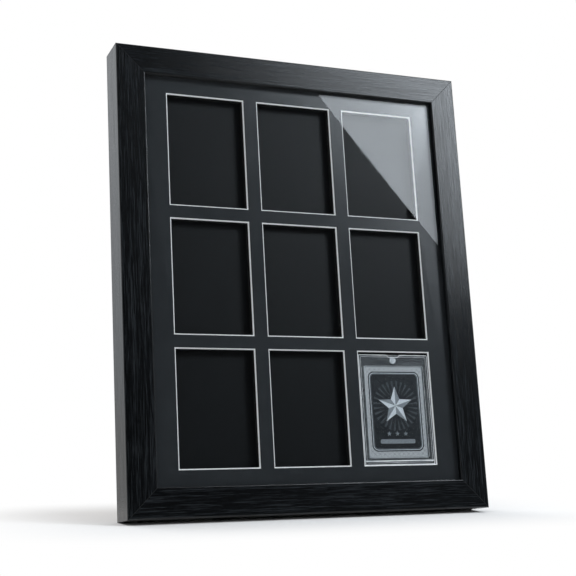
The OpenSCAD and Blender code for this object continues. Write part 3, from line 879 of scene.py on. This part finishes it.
def heads(node, make_head, height, turn=LEANED):
    """Detailed heads in the places of a CAD node's plain ones."""
    bm = bmesh.new()
    for low, high in solids_of(node, turn):
        seat = Vector(((low.x + high.x) / 2, high.y - height, (low.z + high.z) / 2))
        make_head(bm, seat, RANDOM.uniform(0, math.pi / 2))
    bmesh.ops.recalc_face_normals(bm, faces=bm.faces)
    obj = piece(node + "_heads", bm, material_of(node), BODY_OF[node], turn)
    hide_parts(node)


def make_heads():
    """Gives the screws and rivets their shaped heads."""
    heads("button_screws", screw_head, SCREW_HEIGHT)
    heads("hanger_screws", screw_head, SCREW_HEIGHT)
    heads("base_rivets", rivet_head, RIVET_HEIGHT)
    heads("strut_rivets", rivet_head, RIVET_HEIGHT, STRUT_TURN)


# Flat shapes, for the card and the holder


def rounded_rectangle(width, height, radius, middle=0.0):
    """Points anticlockwise as seen from the front, with the rectangle's middle above 0."""
    corners = []
    for quarter, (side, end) in enumerate(((1, 1), (-1, 1), (-1, -1), (1, -1))):
        for step in range(CORNER_STEPS + 1):
            turn = math.pi / 2 * (quarter + step / CORNER_STEPS)
            x = side * (width / 2 - radius) + radius * math.cos(turn)
            z = end * (height / 2 - radius) + radius * math.sin(turn)
            corners.append((x, z + middle))
    return corners


def outline_strip(outer, inner):
    """Four-sided shapes that fill the space between two outlines."""
    return [(outer[i - 1], outer[i], inner[i], inner[i - 1]) for i in range(len(outer))]


def frame_strip(width, height, radius, line):
    """The shapes of a thin frame, drawn inwards from its outer size."""
    outer = rounded_rectangle(width, height, radius)
    inner = rounded_rectangle(width - 2 * line, height - 2 * line, radius - line)
    return outline_strip(outer, inner)


def flat_piece(name, shapes, node, depth, material):
    """Flat shapes at a depth behind the front face of a CAD node, from its middle."""
    low, high = solids_of(node)[0]
    centre = (low + high) / 2
    bm = bmesh.new()
    for shape in shapes:
        places = [(centre.x + x * MM, low.y + depth, centre.z + z * MM) for x, z in shape]
        bm.faces.new([bm.verts.new(point) for point in places])
    bmesh.ops.remove_doubles(bm, verts=bm.verts, dist=WELD_LAYER)
    return piece(name, bm, material, BODY_OF[node])


# Print on the card: layers of ink a few hundredths of a millimetre thick in all


def on_circle(radius, turn, middle=0.0):
    """A point on a circle, by its turn clockwise from the top."""
    return radius * math.sin(turn), radius * math.cos(turn) + middle


def star_facets(radius, middle, across=0.0):
    """A five-pointed star's ten triangles: those on the light side, then the others."""
    rim = []
    for i in range(10):
        reach = radius if i % 2 == 0 else radius * STAR_WAIST
        x, z = on_circle(reach, -math.tau * i / 10, middle)
        rim.append((x + across, z))
    facets = [((across, middle), rim[i], rim[(i + 1) % 10]) for i in range(10)]
    return facets[0::2], facets[1::2]


def sun_rays():
    """Thin wedges round the star that widen outwards."""
    rays = []
    for i in range(RAYS):
        turn = math.tau * (i + 0.5) / RAYS
        spread = math.tau / RAYS * RAY_SPREAD
        near = on_circle(RAYS_FROM, turn, STAR_MIDDLE)
        left = on_circle(RAYS_TO, turn - spread, STAR_MIDDLE)
        right = on_circle(RAYS_TO, turn + spread, STAR_MIDDLE)
        rays.append((near, left, right))
    return rays


def diamond_hatch():
    """Slanting thin lines across the card's silver border, one way and mirrored."""
    width, height = HATCH_SIZE
    lines = []
    for i in range(1, int((width + height) / HATCH_STEP)):
        shift = i * HATCH_STEP - (width + height) / 2
        low = max(-height / 2, -width / 2 - shift)
        high = min(height / 2, width / 2 - shift)
        for lean in (1, -1):
            foot = lean * (shift + low)
            head = lean * (shift + high)
            lower = (foot, low), (foot + HATCH_LINE, low)
            upper = (head + HATCH_LINE, high), (head, high)
            lines.append((lower + upper)[::lean])
    return lines


def print_layer(name, shapes, level, material):
    """Flat shapes on the card's face; level counts the layers from the card outwards."""
    flat_piece(name, shapes, "card", -level * INK_STEP, material)


def print_card():
    """A generic silver and black card: a star over rays in a framed panel, with a blank bar."""
    bright = ink("card_bright")
    dull = ink("card_grey")
    silver = ink("card_silver", rough=0.28, metallic=0.1)
    print_layer("card_border", [rounded_rectangle(*BORDER)], 1, silver)
    print_layer("card_border_lines", diamond_hatch(), 2, ink("card_foil"))
    print_layer("card_panel_edge", [rounded_rectangle(*PANEL_EDGE)], 3, ink("card_dark"))
    rim = [rounded_rectangle(*size) for size in PANEL_RIM]
    print_layer("card_panel_rim", outline_strip(*rim), 4, bright)
    print_layer("card_rays", sun_rays(), 4, ink("card_dusk"))
    line = [rounded_rectangle(*size) for size in PANEL_LINE]
    print_layer("card_panel_line", outline_strip(*line), 4, dull)
    light, shade = star_facets(STAR_RADIUS, STAR_MIDDLE)
    print_layer("card_star_light", light, 5, bright)
    print_layer("card_star_shade", shade, 5, dull)
    print_layer("card_name_bar", [rounded_rectangle(*NAME_BAR)], 4, dull)
    small = []
    for across in SMALL_STARS_ACROSS:
        sides = star_facets(SMALL_STAR_RADIUS, SMALL_STARS_MIDDLE, across)
        small += sides[0] + sides[1]
    print_layer("card_small_stars", small, 4, dull)


# Painted highlights and glare on the holder


def notched(outline, inset, depth=NOTCH_DEPTH):
    """An outline with its top side led round the lid's notch, inset from the notch's edge.

    With no depth it keeps its shape and gains the same points.
    """
    end = outline[CORNER_STEPS][1]
    top = NOTCH_WIDTH / 2 + (math.sqrt(2) - 1) * inset
    foot = top - NOTCH_DEPTH
    path = [(top, end), (foot, end - depth), (-foot, end - depth), (-top, end)]
    return outline[:CORNER_STEPS + 1] + path + outline[CORNER_STEPS + 1:]


def inside_rim(inset, radius):
    """An outline inside the holder's edge, which leads round the lid's notch."""
    width, height = (side - 2 * inset for side in HOLDER_SIZE)
    return notched(rounded_rectangle(width, height, radius), inset)


def holder_layer(name, shapes, depth, material):
    """Flat shapes at a depth behind the holder's front face."""
    flat_piece(name, shapes, "holder_lid", depth, material)


def lowered(shape):
    """A shape that is moved down to the card's middle."""
    return [(x, z - CARD_DROP) for x, z in shape]


def paint_holder_highlights(highlight_material):
    """Painted highlights on the holder's rim, steps and foot, and painted glare where the touching
    faces of its halves part.
    """
    rim_line = outline_strip(*(inside_rim(*size) for size in RIM_LINE))
    recess_line = [lowered(shape) for shape in frame_strip(*RECESS_LINE)]
    foot_line = [rounded_rectangle(*FOOT_LINE)]
    holder_layer("holder_rim_highlight", rim_line, -INK_STEP, highlight_material)
    holder_layer("holder_step_highlight", frame_strip(*STEP_LINE), -INK_STEP, highlight_material)
    holder_layer("holder_recess_highlight", recess_line, -INK_STEP, highlight_material)
    holder_layer("holder_foot_highlight", foot_line, -INK_STEP, highlight_material)
    recess = lowered(notched(rounded_rectangle(*SEAM_RECESS), inset=0, depth=0))
    seam = outline_strip(inside_rim(*SEAM_RIM), recess)
    holder_layer("holder_seam_glare", seam, SEAM_DEPTH, holder_seam_glare())


make_camera()
make_world()
make_softbox()
make_fill()
make_floor()
dress_nodes()
# Painted highlight for the holder's rounded edges and lines
EDGE_HIGHLIGHT = clear_edge_highlight()
round_edges(EDGE_HIGHLIGHT)
make_heads()
print_card()
paint_holder_highlights(EDGE_HIGHLIGHT)
bpy.context.scene.view_settings.view_transform = "Standard"
